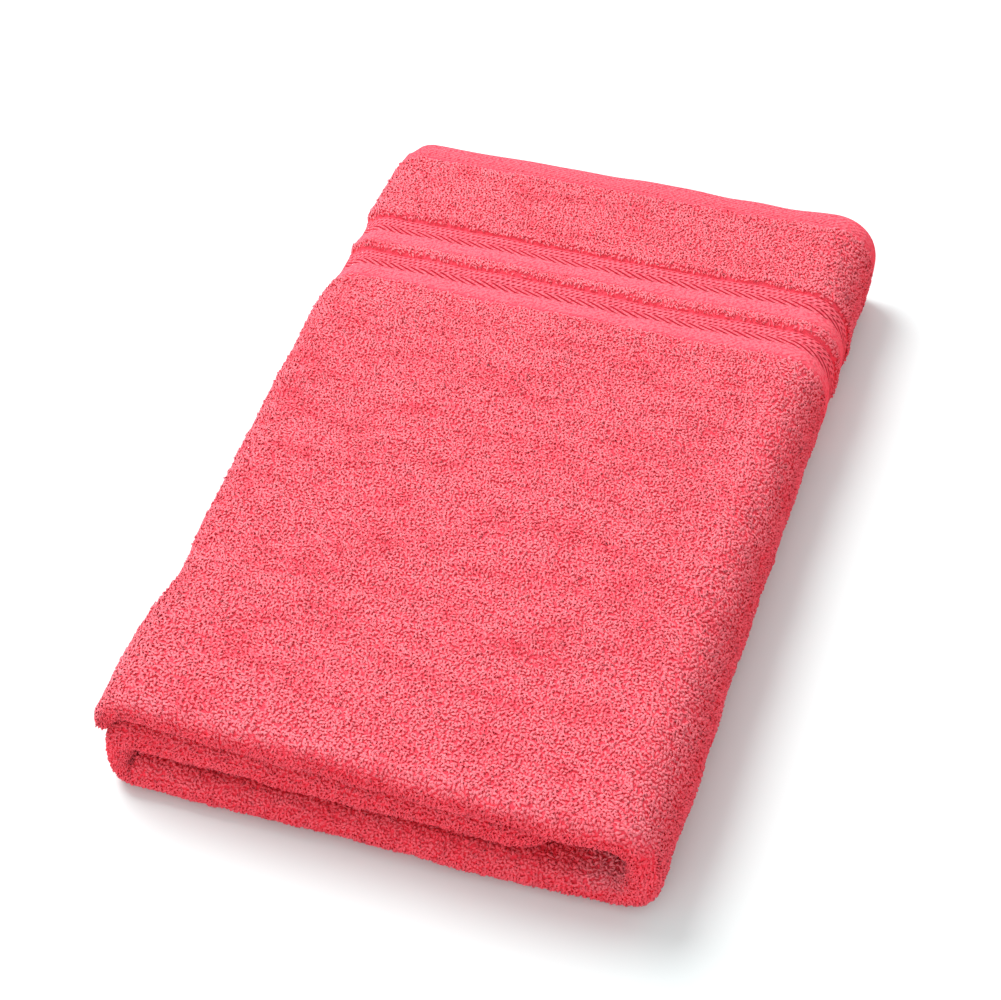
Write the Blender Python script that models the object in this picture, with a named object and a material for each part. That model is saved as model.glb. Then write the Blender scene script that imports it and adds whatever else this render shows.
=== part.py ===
"""A terry bath towel, folded in four across its length and then in three across its width, lying flat.

X runs across the folded towel, Y runs from the folded front to the hems at the back, Z is up.
The towel is one sheet of even thickness. It is described flat, by u across its width and v along
its length, and two maps carry it into place: the first folds it into a pad of four leaves, the
second bends that pad into three panels that lie on each other.
"""

import math

import bmesh
import bpy

# The towel laid out flat.
FLAT_WIDTH = 0.700
FLAT_LENGTH = 1.400

# The cloth: a woven ground with loops on both faces, pressed by its own weight.
CLOTH_THICKNESS = 0.0034
LEAF_GAP = 0.0007
SELVEDGE_WIDTH = 0.005
SELVEDGE_THICKNESS = 0.0022
HEM_WIDTH = 0.009
HEM_THICKNESS = 0.0026

# The two woven borders near each hem have no loops, so they lie lower than the field.
BORDER_STARTS = (0.0555, 0.0797)
BORDER_WIDTH = 0.0178
BORDER_DEPTH = 0.0009
BORDER_RAMP = 0.0012

# How far the leaves of the pad reach: each is set in a little from the leaf that covers it.
BACK_FOLD_SET_IN = 0.0025
INNER_HEM_SET_IN = 0.0050
INNER_FOLD_SET_IN = 0.0015

# How the pad is bent into panels.
FOLD_SQUASH = 0.90
FOLD_FULLNESS_BELOW = 3.0
FOLD_FULLNESS_ABOVE = 2.2
TOP_OVERHANG = 0.0032
POCKET_CLEARANCE = 0.0040

# Unevenness of a towel folded by hand.
# Drift is along Y, at the start and the end of each panel as the cloth runs.
MIDDLE_DRIFT = (0.0064, 0.0)
BOTTOM_DRIFT = (-0.0070, 0.0)
TOP_DRIFT = (0.0049, 0.0029)
SWELL = 0.016
SWELL_LENGTH = 0.190
BACK_DROOP = 0.030
BACK_DROOP_REACH = 0.060
EDGE_DROOP = 0.50
LEAF_STAGGER = 0.0028
# The free edge waves: (distance from the back, reach to each side, how far it stands out).
EDGE_WAVES = ((0.095, 0.022, 0.0028), (0.245, 0.060, -0.0042))
CORNER_ROUND = 0.0045
CORNER_REACH = 0.022

# Cells of the mesh, along each straight run and round each turn.
PANEL_CELLS = (6, 6, 6)
OVERHANG_CELLS = 3
TURN_CELLS = (7, 8)
LEAF_CELLS = (7, 8, 8, 8)
LEAF_TURN_CELLS = (7, 4, 4)

COLOUR = (0.86, 0.115, 0.165, 1.0)

PITCH = CLOTH_THICKNESS + LEAF_GAP
PAD = 4 * PITCH


def smooth(value):
    """0 below 0, 1 above 1, and an even S between."""
    value = min(max(value, 0.0), 1.0)
    return value * value * (3 - 2 * value)


def walk(runs, start, heading, length):
    """Point, heading and centre of turning on a path of straight runs and half turns.

    A run is (cloth length, side, radius): side 0 is straight, 1 turns left and -1 turns right.
    """
    a, b = start
    for index, (run, side, radius) in enumerate(runs):
        last = index == len(runs) - 1
        here = length if length <= run or last else run
        if side == 0:
            a += here * math.cos(heading)
            b += here * math.sin(heading)
            centre = None
        else:
            centre = (
                a - side * radius * math.sin(heading),
                b + side * radius * math.cos(heading),
            )
            heading += side * math.pi * here / run
            a = centre[0] + side * radius * math.sin(heading)
            b = centre[1] - side * radius * math.cos(heading)
        if length <= run or last:
            return a, b, heading, centre
        length -= run


def pad_runs():
    """The section through the four leaves, from the upper hem to the inner hem."""
    outer = 1.5 * PITCH
    inner = 0.5 * PITCH
    outer_cloth = math.pi * outer
    inner_cloth = math.pi * inner
    straight = FLAT_LENGTH - outer_cloth - 2 * inner_cloth
    second = BACK_FOLD_SET_IN + inner + CLOTH_THICKNESS / 2
    third = second + INNER_FOLD_SET_IN
    fourth = INNER_HEM_SET_IN + INNER_FOLD_SET_IN
    first = (straight + second + third + fourth) / 4
    return [
        (first, 0, 0),
        (outer_cloth, -1, outer),
        (first - second, 0, 0),
        (inner_cloth, -1, inner),
        (first - third, 0, 0),
        (inner_cloth, 1, inner),
        (first - fourth, 0, 0),
    ]


def bent_length(radius):
    """Cloth used by a half turn that is squashed sideways."""
    return math.pi * radius * math.sqrt((1 + FOLD_SQUASH**2) / 2)


def panel_runs():
    """The path of the pad's outer face: middle panel, left turn, bottom, right turn, top."""
    left_cloth = bent_length(PAD / 2)
    right_cloth = bent_length(PAD)
    overhang = FOLD_SQUASH * PAD + TOP_OVERHANG
    straight = FLAT_WIDTH - left_cloth - right_cloth
    bottom = (straight + POCKET_CLEARANCE - overhang) / 3
    return [
        (bottom - POCKET_CLEARANCE, 0, 0),
        (left_cloth, 1, PAD),
        (bottom, 0, 0),
        (right_cloth, 1, 1.5 * PAD),
        (bottom + overhang, 0, 0),
    ]


PAD_RUNS = pad_runs()
PANEL_RUNS = panel_runs()
PANEL = PANEL_RUNS[2][0]
BACK = PAD_RUNS[0][0]


def end_distance(v):
    return min(v, FLAT_LENGTH - v)


def half_thickness(u, v):
    """Half the cloth's thickness: thin at hems and selvedges, lower along the borders."""
    near_side = min(u, FLAT_WIDTH - u)
    near_end = end_distance(v)
    if near_end < HEM_WIDTH:
        return HEM_THICKNESS / 2
    if near_side < SELVEDGE_WIDTH:
        return SELVEDGE_THICKNESS / 2
    half = CLOTH_THICKNESS / 2
    if near_end == v:
        for start in BORDER_STARTS:
            into = min(v - start, start + BORDER_WIDTH - v)
            half -= BORDER_DEPTH * smooth(into / BORDER_RAMP + 0.5)
    return half


def stagger(v):
    """How far each leaf's free edge is set in, easing from leaf to leaf."""
    return LEAF_STAGGER * 0.5 * (1 - math.cos(2 * math.pi * v / FLAT_LENGTH))


def edge_wave(y):
    """How far the free edge of the top panel stands out at this place along the towel."""
    total = 0.0
    for from_back, reach, height in EDGE_WAVES:
        off = (BACK / 2 - from_back - y) / reach
        total += height * math.exp(-off * off)
    return total


def corner(u, v):
    """How far the cloth is drawn in at a corner of the top panel's upper leaf."""
    along = smooth(1 - v / CORNER_REACH)
    across = smooth(1 - (FLAT_WIDTH - u) / CORNER_REACH)
    return CORNER_ROUND * along * across


def drift(u):
    """How far the cloth has slid along Y, eased through each turn."""
    middle, left, bottom, right, _ = [run for run, _, _ in PANEL_RUNS]
    if u < middle:
        return MIDDLE_DRIFT[0] + (MIDDLE_DRIFT[1] - MIDDLE_DRIFT[0]) * u / middle
    u -= middle
    if u < left:
        return MIDDLE_DRIFT[1] + (BOTTOM_DRIFT[0] - MIDDLE_DRIFT[1]) * smooth(u / left)
    u -= left
    if u < bottom:
        return BOTTOM_DRIFT[0] + (BOTTOM_DRIFT[1] - BOTTOM_DRIFT[0]) * u / bottom
    u -= bottom
    if u < right:
        return BOTTOM_DRIFT[1] + (TOP_DRIFT[0] - BOTTOM_DRIFT[1]) * smooth(u / right)
    u -= right
    return TOP_DRIFT[0] + (TOP_DRIFT[1] - TOP_DRIFT[0]) * u / PANEL_RUNS[4][0]


def swell(x, y):
    """Share by which the stack stands higher or lower, soft over the whole top."""
    turn = 2 * math.pi / SWELL_LENGTH
    soft = math.sin(turn * x + 0.6) * math.cos(turn * 0.8 * y - 0.4)
    soft += 0.6 * math.sin(turn * (0.7 * x + 0.9 * y) + 1.9)
    sag = smooth((y - BACK / 2 + BACK_DROOP_REACH) / BACK_DROOP_REACH)
    return 1 + SWELL * soft / 1.6 - BACK_DROOP * sag


def fill_turn(centre, x, z):
    """Squashes a turn sideways and fills out its corners, more below than above."""
    dx = x - centre[0]
    dz = z - centre[1]
    distance = math.hypot(dx, dz)
    if distance == 0:
        return x, z
    power = FOLD_FULLNESS_BELOW if dz < 0 else FOLD_FULLNESS_ABOVE
    fuller = (abs(dx / distance) ** power + abs(dz / distance) ** power) ** (-1 / power)
    return centre[0] + FOLD_SQUASH * fuller * dx, centre[1] + fuller * dz


def place(u, v, out):
    """Where the point `out` off the sheet's middle, at (u, v) of the flat towel, ends up."""
    y, depth, heading, _ = walk(PAD_RUNS, (BACK / 2, PITCH / 2), math.pi, v)
    y -= out * math.sin(heading)
    depth += out * math.cos(heading)

    free_edge = smooth((u - FLAT_WIDTH + 0.090) / 0.090)
    hidden_edge = smooth((0.090 - u) / 0.090)
    reach = u - free_edge * (stagger(v) - edge_wave(y)) + hidden_edge * stagger(v)
    reach -= corner(u, v)
    start = (PANEL / 2 - POCKET_CLEARANCE, 2 * PAD)
    x, z, heading, centre = walk(PANEL_RUNS, start, math.pi, reach)
    x -= depth * math.sin(heading)
    z += depth * math.cos(heading)
    if centre is not None:
        x, z = fill_turn(centre, x, z)

    beyond = max(-PANEL / 2 - x, 0.0)
    if u > FLAT_WIDTH - PANEL_RUNS[4][0]:
        z -= EDGE_DROOP * beyond * beyond / (2 * PAD)
    z *= swell(x, y)
    return x, y + drift(u) - corner(u, v), z


def spaced(start, stop, cells):
    return [start + (stop - start) * i / cells for i in range(cells)]


def columns():
    """u of each line of the mesh that runs from hem to hem."""
    lengths = [run for run, _, _ in PANEL_RUNS[:4]] + [PANEL, PANEL_RUNS[4][0] - PANEL]
    cells = (PANEL_CELLS[0], TURN_CELLS[0], PANEL_CELLS[1], TURN_CELLS[1])
    cells += (PANEL_CELLS[2], OVERHANG_CELLS)
    lines = []
    u = 0.0
    for run, count in zip(lengths, cells):
        lines += spaced(u, u + run, count)
        u += run
    lines.append(FLAT_WIDTH)
    lines += [SELVEDGE_WIDTH - 0.0005, SELVEDGE_WIDTH + 0.0005]
    lines += [FLAT_WIDTH - SELVEDGE_WIDTH - 0.0005, FLAT_WIDTH - SELVEDGE_WIDTH + 0.0005]
    return sorted(lines)


def rows():
    """v of each line of the mesh that runs from selvedge to selvedge."""
    lines = [0.0, HEM_WIDTH - 0.0005, HEM_WIDTH + 0.0005, 0.5 * (HEM_WIDTH + BORDER_STARTS[0])]
    for start in BORDER_STARTS:
        for edge in (start, start + BORDER_WIDTH):
            lines += [edge - BORDER_RAMP / 2, edge + BORDER_RAMP / 2]
    counts = [LEAF_CELLS[0]]
    for turn, leaf in zip(LEAF_TURN_CELLS, LEAF_CELLS[1:]):
        counts += [turn, leaf]
    v = 0.0
    border_end = lines[-1]
    for index, ((run, _, _), count) in enumerate(zip(PAD_RUNS, counts)):
        first = border_end if index == 0 else v
        fresh = spaced(first, v + run, count)
        lines += fresh[1:] if index == 0 else fresh
        v += run
    lines += [FLAT_LENGTH - HEM_WIDTH - 0.0005, FLAT_LENGTH - HEM_WIDTH + 0.0005, FLAT_LENGTH]
    return sorted(lines)


def sheet_mesh(name):
    """The folded sheet as one closed body: outer face, inner face and a rim round all four edges."""
    us = columns()
    vs = rows()
    bm = bmesh.new()
    faces = []
    for side in (1, -1):
        grid = [
            [bm.verts.new(place(u, v, side * half_thickness(u, v))) for v in vs] for u in us
        ]
        faces.append(grid)
    outer, inner = faces
    for i in range(len(us) - 1):
        for j in range(len(vs) - 1):
            bm.faces.new((outer[i][j], outer[i][j + 1], outer[i + 1][j + 1], outer[i + 1][j]))
            bm.faces.new((inner[i][j], inner[i + 1][j], inner[i + 1][j + 1], inner[i][j + 1]))
    last_u = len(us) - 1
    last_v = len(vs) - 1
    for i in range(last_u):
        bm.faces.new((outer[i][0], outer[i + 1][0], inner[i + 1][0], inner[i][0]))
        bm.faces.new((outer[i + 1][last_v], outer[i][last_v], inner[i][last_v], inner[i + 1][last_v]))
    for j in range(last_v):
        bm.faces.new((outer[0][j + 1], outer[0][j], inner[0][j], inner[0][j + 1]))
        bm.faces.new((outer[last_u][j], outer[last_u][j + 1], inner[last_u][j + 1], inner[last_u][j]))
    if bm.calc_volume(signed=True) < 0:
        bmesh.ops.reverse_faces(bm, faces=bm.faces)
    for face in bm.faces:
        face.smooth = True
    mesh = bpy.data.meshes.new(name)
    bm.to_mesh(mesh)
    bm.free()
    return mesh


def stand_on_floor(mesh):
    """Centres the towel over the origin, with its lowest face at z = 0."""
    lows = [min(v.co[axis] for v in mesh.vertices) for axis in range(3)]
    highs = [max(v.co[axis] for v in mesh.vertices) for axis in range(3)]
    shift = ((lows[0] + highs[0]) / 2, (lows[1] + highs[1]) / 2, lows[2])
    for vertex in mesh.vertices:
        for axis in range(3):
            vertex.co[axis] -= shift[axis]


def cotton(name, colour):
    material = bpy.data.materials.new(name)
    material.use_nodes = True
    shader = material.node_tree.nodes["Principled BSDF"]
    shader.inputs["Base Color"].default_value = colour
    shader.inputs["Roughness"].default_value = 0.95
    shader.inputs["Metallic"].default_value = 0.0
    return material


for old in list(bpy.data.objects):
    bpy.data.objects.remove(old, do_unlink=True)

towel_mesh = sheet_mesh("towel")
stand_on_floor(towel_mesh)
towel = bpy.data.objects.new("towel", towel_mesh)
towel_mesh.materials.append(cotton("coral cotton", COLOUR))
bpy.context.scene.collection.objects.link(towel)
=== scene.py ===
# %% [markdown]
# # A folded terry towel
#
# The object is one bath towel, folded in four along its length and then like a letter across its
# width, lying flat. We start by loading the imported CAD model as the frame. It gives the towel's
# place, its folded shape in low relief and the box that the finished model has to stay near.

import bpy
import numpy as np
from mathutils import Matrix, Vector


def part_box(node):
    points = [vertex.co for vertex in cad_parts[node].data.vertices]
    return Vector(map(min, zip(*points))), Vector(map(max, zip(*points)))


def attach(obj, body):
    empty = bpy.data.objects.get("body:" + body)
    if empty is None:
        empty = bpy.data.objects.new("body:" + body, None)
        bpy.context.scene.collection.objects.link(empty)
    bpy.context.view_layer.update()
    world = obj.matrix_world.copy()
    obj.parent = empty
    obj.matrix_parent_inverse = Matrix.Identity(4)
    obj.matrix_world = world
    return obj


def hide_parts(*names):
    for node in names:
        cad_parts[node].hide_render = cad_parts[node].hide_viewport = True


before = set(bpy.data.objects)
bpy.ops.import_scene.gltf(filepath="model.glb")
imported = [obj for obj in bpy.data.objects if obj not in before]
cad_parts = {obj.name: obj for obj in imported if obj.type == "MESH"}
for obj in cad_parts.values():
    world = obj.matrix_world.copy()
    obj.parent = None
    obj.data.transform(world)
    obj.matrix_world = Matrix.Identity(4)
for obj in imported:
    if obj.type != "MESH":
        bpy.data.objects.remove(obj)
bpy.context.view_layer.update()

cad_low, cad_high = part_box("towel")
print("CAD towel, mm:", [round(1000 * (b - a), 1) for a, b in zip(cad_low, cad_high)])

# %% [markdown]
# ## The towel's sizes
#
# A towel is easiest to describe flat: u runs across it from selvedge to selvedge and v runs along
# it from hem to hem. The borders are the two woven bands near a hem. The same few sizes drive the
# CAD solid, so the visual model lies where the solid does. Every length here is in metres.

# %% Sizes of the flat cloth and of a pad of four leaves
FLAT_WIDTH = 0.700
FLAT_LENGTH = 1.400
LEAF, LEAF_GAP = 0.0034, 0.0007
PITCH = LEAF + LEAF_GAP
PAD = 4 * PITCH
HEM_WIDTH = 0.009
SELVEDGE_WIDTH = 0.005
BORDER_STARTS = (0.0555, 0.0797)
BORDER_WIDTH = 0.0178
print("one leaf takes", round(1000 * PITCH, 1), "mm and a pad", round(1000 * PAD, 1), "mm")


# %% [markdown]
# ## Folding as a map
#
# A cloth simulation of twelve layers would be slow and would come out a little different each
# time. Folding by hand follows simple lines, so we write it as a map instead: a path of straight
# runs and half turns. Numpy lets the map carry hundreds of thousands of points at once, so the
# cloth and, later, every loop of its pile can be drawn flat and folded together.

# %% A path of straight runs and half turns
def smooth(value):
    """0 below 0, 1 above 1, and an even S between."""
    value = np.clip(value, 0.0, 1.0)
    return value * value * (3 - 2 * value)


def walk(runs, start, heading, length):
    """Points, headings and centres of turning at these lengths along a path.

    A run is its length, the side it turns to (0 for straight on) and its radius.
    """
    a, b, turned = (np.zeros_like(length) for _ in range(3))
    centres = np.full(length.shape + (2,), np.nan)
    pa, pb = start
    begin = 0.0
    for index, (run, side, radius) in enumerate(runs):
        last = index == len(runs) - 1
        here = ((length >= begin) | (index == 0)) & ((length < begin + run) | last)
        along = length[here] - begin
        if side == 0:
            a[here] = pa + along * np.cos(heading)
            b[here] = pb + along * np.sin(heading)
            turned[here] = heading
            pa += run * np.cos(heading)
            pb += run * np.sin(heading)
        else:
            centre = (pa - side * radius * np.sin(heading), pb + side * radius * np.cos(heading))
            now = heading + side * np.pi * along / run
            a[here] = centre[0] + side * radius * np.sin(now)
            b[here] = centre[1] - side * radius * np.cos(now)
            turned[here] = now
            centres[here] = centre
            heading += side * np.pi
            pa = centre[0] + side * radius * np.sin(heading)
            pb = centre[1] - side * radius * np.cos(heading)
        begin += run
    return a, b, turned, centres


# %% [markdown]
# The first fold makes a pad of four leaves: the upper leaf, the outer turn at the front, the
# lowest leaf, a turn at the back, and the two inner leaves. Each leaf inside ends a little short of
# the one round it.

# %% The first fold, along the towel
SET_IN_BACK_FOLD, SET_IN_INNER_FOLD, SET_IN_INNER_HEM = 0.0025, 0.0015, 0.0050


def pad_runs():
    outer, inner = 1.5 * PITCH, 0.5 * PITCH
    straight = FLAT_LENGTH - np.pi * (outer + 2 * inner)
    second = SET_IN_BACK_FOLD + inner + LEAF / 2
    third = second + SET_IN_INNER_FOLD
    fourth = SET_IN_INNER_HEM + SET_IN_INNER_FOLD
    first = (straight + second + third + fourth) / 4
    return [
        (first, 0, 0),
        (np.pi * outer, -1, outer),
        (first - second, 0, 0),
        (np.pi * inner, -1, inner),
        (first - third, 0, 0),
        (np.pi * inner, 1, inner),
        (first - fourth, 0, 0),
    ]


PAD_RUNS = pad_runs()
BACK = PAD_RUNS[0][0]
V_STOPS = np.cumsum([0.0] + [run for run, _, _ in PAD_RUNS])
ROLL_START, ROLL_END = V_STOPS[1:3]
BACK_TURN_START, BACK_TURN_END = V_STOPS[3:5]
print("leaf length mm", round(1000 * BACK, 1))

# %% [markdown]
# The second fold bends that pad like a letter: the middle panel, a tight turn on the left, the
# bottom panel, a wide turn on the right and the top panel, which reaches a little past the rest.

# %% The second fold, across the towel
FOLD_SQUASH = 0.90
TOP_OVERHANG = 0.0032
POCKET_CLEARANCE = 0.0040


def panel_runs():
    left, right = (np.pi * r * np.sqrt((1 + FOLD_SQUASH**2) / 2) for r in (PAD / 2, PAD))
    overhang = FOLD_SQUASH * PAD + TOP_OVERHANG
    bottom = (FLAT_WIDTH - left - right + POCKET_CLEARANCE - overhang) / 3
    return [
        (bottom - POCKET_CLEARANCE, 0, 0),
        (left, 1, PAD),
        (bottom, 0, 0),
        (right, 1, 1.5 * PAD),
        (bottom + overhang, 0, 0),
    ]


PANEL_RUNS = panel_runs()
PANEL = PANEL_RUNS[2][0]
U_STOPS = np.cumsum([0.0] + [run for run, _, _ in PANEL_RUNS])
MIDDLE_END, BOTTOM_START, BOTTOM_END, TOP_START = U_STOPS[1:5]
print("panel width mm", round(1000 * PANEL, 1))


# %% [markdown]
# ## Folded by hand
#
# Hands never fold a towel quite true. The whole stack could be sculpted by hand, but then the pile
# would not follow. Instead we add small smooth shifts to the map. They move neighbouring layers
# together, so the layers keep their distance. The first one slides each panel along the towel.

# %% The slide of the panels
DRIFTS = (0.0064, 0.0, -0.0070, 0.0, 0.0049, 0.0029)


def slide(u):
    """How far a panel has slid, changing evenly over a panel and easing round a turn."""
    drift = 0.0
    for index, (begin, end) in enumerate(zip(U_STOPS, U_STOPS[1:])):
        share = (u - begin) / (end - begin)
        share = smooth(share) if index % 2 else share
        here = DRIFTS[index] + (DRIFTS[index + 1] - DRIFTS[index]) * share
        drift = np.where(u < begin, drift, here) if index else here
    return drift


print("slides mm", [1000 * drift for drift in DRIFTS])


# %% [markdown]
# The free edge on the left is where four leaves end together. They stagger a little, the whole edge
# waves in and out, the tighter weave of the borders pulls it in, and the lower leaf is tucked back
# at the front. The hidden edge in the pocket and the corner of the hem have their own small shifts.

# %% The unevenness of the free edge and of the hidden one
LEAF_STAGGER = 0.0028
# Distance from the back end, reach and height of each wave.
EDGE_WAVES = (
    (0.080, 0.020, -0.0014), (0.115, 0.016, 0.0020), (0.252, 0.048, -0.0036),
    (0.285, 0.018, -0.0046), (0.340, 0.022, 0.0050),
)
BORDER_PULL = 0.0030
EDGE_TUCK, EDGE_REACH = 0.0008, 0.030
FREE_REACH = 0.090
FRONT_START, FRONT_FADE = -0.12, 0.05
NOSE_TUCK, NOSE_END, NOSE_FADE = 0.0050, 0.50, 0.12
POCKET_TUCK = 0.0060
CORNER_ROUND, CORNER_REACH = 0.0034, 0.017


def bulge(value, middle, reach):
    """A smooth hump of height 1 at `middle`, nearly gone twice `reach` away."""
    return np.exp(-(((value - middle) / reach) ** 2))


def at_front(y):
    """0 over most of the towel, rising to 1 at its front end."""
    return smooth((FRONT_START - y) / FRONT_FADE)


def unevenness(u, v, y):
    """The length along the panels where a point ends up, and its slide along the towel."""
    stagger = LEAF_STAGGER * 0.5 * (1 - np.cos(2 * np.pi * v / FLAT_LENGTH))
    wave = sum(h * bulge(BACK / 2 - f - y, 0, r) for f, r, h in EDGE_WAVES)
    half_band = BORDER_WIDTH / 2
    pull = sum(BORDER_PULL * bulge(v, s + half_band, half_band) for s in BORDER_STARTS)
    under = smooth((v - ROLL_START) / (ROLL_END - ROLL_START)) * smooth((NOSE_END - v) / NOSE_FADE)
    nose = NOSE_TUCK * under * at_front(y)
    free = smooth((u - FLAT_WIDTH + FREE_REACH) / FREE_REACH) * (stagger - wave + nose)
    free = free + smooth((u - FLAT_WIDTH + EDGE_REACH) / EDGE_REACH) * (pull + EDGE_TUCK)
    hidden = smooth((FREE_REACH - u) / FREE_REACH) * (stagger + POCKET_TUCK)
    corner = smooth(1 - v / CORNER_REACH) * smooth(1 - (FLAT_WIDTH - u) / CORNER_REACH)
    corner = CORNER_ROUND * corner
    return u - free + hidden - corner, slide(u) - corner


# %% [markdown]
# Weight works on the folded stack. The turns are pressed fuller than half circles, the top panel
# droops past the panels under it, most of all at the front, and the stack swells and sags softly.

# %% Turns, droop and swell
FULL_BELOW, FULL_ABOVE = 3.0, 2.2
EDGE_DROOP, FRONT_DROOP = 0.50, 1.1
TIP_DROOP, TIP_REACH = 0.0030, 0.020
RIM_DROOP, RIM_REACH = 0.0030, 0.014
SWELL, SWELL_LENGTH, SWELL_PEAK = 0.016, 0.190, 1.6
BACK_DROOP, BACK_DROOP_REACH = 0.030, 0.060


def fuller_turn(x, z, centre):
    """A half circle pressed towards a rounded square, and squashed from the side."""
    dx, dz = x - centre[..., 0], z - centre[..., 1]
    far = np.hypot(dx, dz) + 1e-12
    power = np.where(dz < 0, FULL_BELOW, FULL_ABOVE)
    fuller = (np.abs(dx / far) ** power + np.abs(dz / far) ** power) ** (-1 / power)
    turning = ~np.isnan(centre[..., 0])
    x = np.where(turning, centre[..., 0] + FOLD_SQUASH * fuller * dx, x)
    return x, np.where(turning, centre[..., 1] + fuller * dz, z)


def droop(u, x, y):
    """How far down the top panel hangs past the bottom one."""
    beyond = np.maximum(-PANEL / 2 - x, 0.0)
    down = EDGE_DROOP * (1 + FRONT_DROOP * at_front(y)) * beyond**2 / (2 * PAD)
    down += TIP_DROOP * at_front(y) * (beyond / TIP_REACH) ** 4
    return down + RIM_DROOP * smooth(1 - (FLAT_WIDTH - u) / RIM_REACH) ** 2


def swollen(x, y, z):
    """The height after the soft swells of the stack and its sag at the back."""
    # Two crossing waves, with given phases.
    turn = 2 * np.pi / SWELL_LENGTH
    soft = np.sin(turn * x + 0.6) * np.cos(turn * 0.8 * y - 0.4)
    soft += 0.6 * np.sin(turn * (0.7 * x + 0.9 * y) + 1.9)
    sag = smooth((y - BACK / 2 + BACK_DROOP_REACH) / BACK_DROOP_REACH)
    return z * (1 + SWELL * soft / SWELL_PEAK - BACK_DROOP * sag)


# %% [markdown]
# Last, the right side is drawn in towards the front, its two corners move towards the back by a
# hair, and the front corner of the middle panel is tucked back inside the wide turn. That tuck
# opens the hollow at the front right of the stack.

# %% The right side and the hollow in its fold
RIGHT_START, RIGHT_FADE = 0.075, 0.042
DRAWN_IN, DRAWN_FROM, DRAWN_FADE = 0.0021, 0.11, 0.13
FRONT_CORNER_SHIFT, FRONT_CORNER_FROM, FRONT_CORNER_FADE = 0.0018, -0.145, 0.030
BACK_CORNER_SHIFT, BACK_CORNER_FROM, BACK_CORNER_FADE = 0.0006, 0.12, 0.05
HOLLOW_WIDTH, HOLLOW_FROM, HOLLOW_FADE = 0.045, -0.11, 0.06
HOLLOW_NARROWING, HOLLOW_DEPTH = 0.003, 0.013


def drawn_in(u, x, y):
    """The place in plan after the shifts of the right side and of the middle panel's corner."""
    right = smooth((x - RIGHT_START) / RIGHT_FADE)
    x = x - DRAWN_IN * right * smooth((DRAWN_FROM - y) / DRAWN_FADE)
    y = y + FRONT_CORNER_SHIFT * right * smooth((FRONT_CORNER_FROM - y) / FRONT_CORNER_FADE)
    y = y + BACK_CORNER_SHIFT * right * smooth((y - BACK_CORNER_FROM) / BACK_CORNER_FADE)
    inside = smooth(1 - u / HOLLOW_WIDTH) ** 2 * smooth((HOLLOW_FROM - y) / HOLLOW_FADE)
    return x - HOLLOW_NARROWING * inside, y + HOLLOW_DEPTH * inside


# %% [markdown]
# One function now puts both folds and all the shifts together. It walks the pad first, steps off
# the middle of the cloth, walks the panels with the result and steps off again.

# %% From the flat towel to the folded one
def place(u, v, out):
    """Where points `out` off the sheet's middle, at (u, v) of the flat towel, end up."""
    u, v, out = (np.array(part, float) for part in np.broadcast_arrays(u, v, out))
    y, depth, heading, _ = walk(PAD_RUNS, (BACK / 2, PITCH / 2), np.pi, v)
    y -= out * np.sin(heading)
    depth += out * np.cos(heading)
    reach, drift = unevenness(u, v, y)
    start = (PANEL / 2 - POCKET_CLEARANCE, 2 * PAD)
    x, z, heading, centre = walk(PANEL_RUNS, start, np.pi, reach)
    x -= depth * np.sin(heading)
    z += depth * np.cos(heading)
    x, z = fuller_turn(x, z, centre)
    z = np.where(u > TOP_START, z - droop(u, x, y), z)
    z = swollen(x, y, z)
    x, y = drawn_in(u, x, y + drift)
    return np.stack([x, y, z], -1)


# %% [markdown]
# The CAD solid was centred over the origin after folding. We fold a coarse grid at the solid's
# thickness, compare its box with the CAD's and keep the shift between them. The free edge waves out
# past the rest in one place, so the middle of that box isn't the middle of the stack, and a nudge
# moves the stack back over the solid. The height is set so that the lowest leaf lies on the floor.

# %% The shift that puts the fold over the CAD solid
NUDGE = 0.0010
probe_u, probe_v = np.meshgrid(
    np.linspace(0, FLAT_WIDTH, 150), np.linspace(0, FLAT_LENGTH, 360), indexing="ij"
)
probe = np.concatenate([place(probe_u, probe_v, s * LEAF / 2).reshape(-1, 3) for s in (1, -1)])
SHIFT = (probe.min(0) + probe.max(0)) / 2 - (np.array(cad_low) + np.array(cad_high)) / 2
SHIFT[0] += NUDGE
SHIFT[2] = (PITCH - LEAF) / 2
print("shift mm", np.round(1000 * SHIFT, 2))


def fold(u, v, out):
    return place(u, v, out) - SHIFT


# %% [markdown]
# ## Soft noise
#
# Small lumps and the lie of the pile need noise that is smooth and the same on every run. A sum of
# a dozen or so waves with seeded directions and lengths does both, in a few numpy lines.

# %% Noise on the flat towel
WAVES, WAVE_PEAK = 14, 1.6


def ripple(u, v, length, seed):
    """Smooth noise of about -1 to 1 whose lumps are `length` metres across."""
    rng = np.random.default_rng(seed)
    total = np.zeros(np.broadcast(u, v).shape)
    for _ in range(WAVES):
        angle, phase = rng.uniform(0, 2 * np.pi, 2)
        rate = 2 * np.pi / length * rng.uniform(0.6, 1.5)
        total += np.sin(rate * (u * np.cos(angle) + v * np.sin(angle)) + phase)
    return total / np.sqrt(WAVES / 2) / WAVE_PEAK


test_u, test_v = np.meshgrid(np.linspace(0, 0.2, 80), np.linspace(0, 0.2, 80))
print("ripple reaches about", np.round(np.ptp(ripple(test_u, test_v, 0.016, 11)) / 2, 2))


# %% [markdown]
# ## The woven cloth
#
# Under the loops a towel is a plain woven ground. It is bare at the hems, the selvedges and the
# borders, and hidden elsewhere. We build it as one closed sheet with a real thickness. The hem is
# folded double and thick, the selvedge thin, and each border ends in a raised rib.

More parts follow.
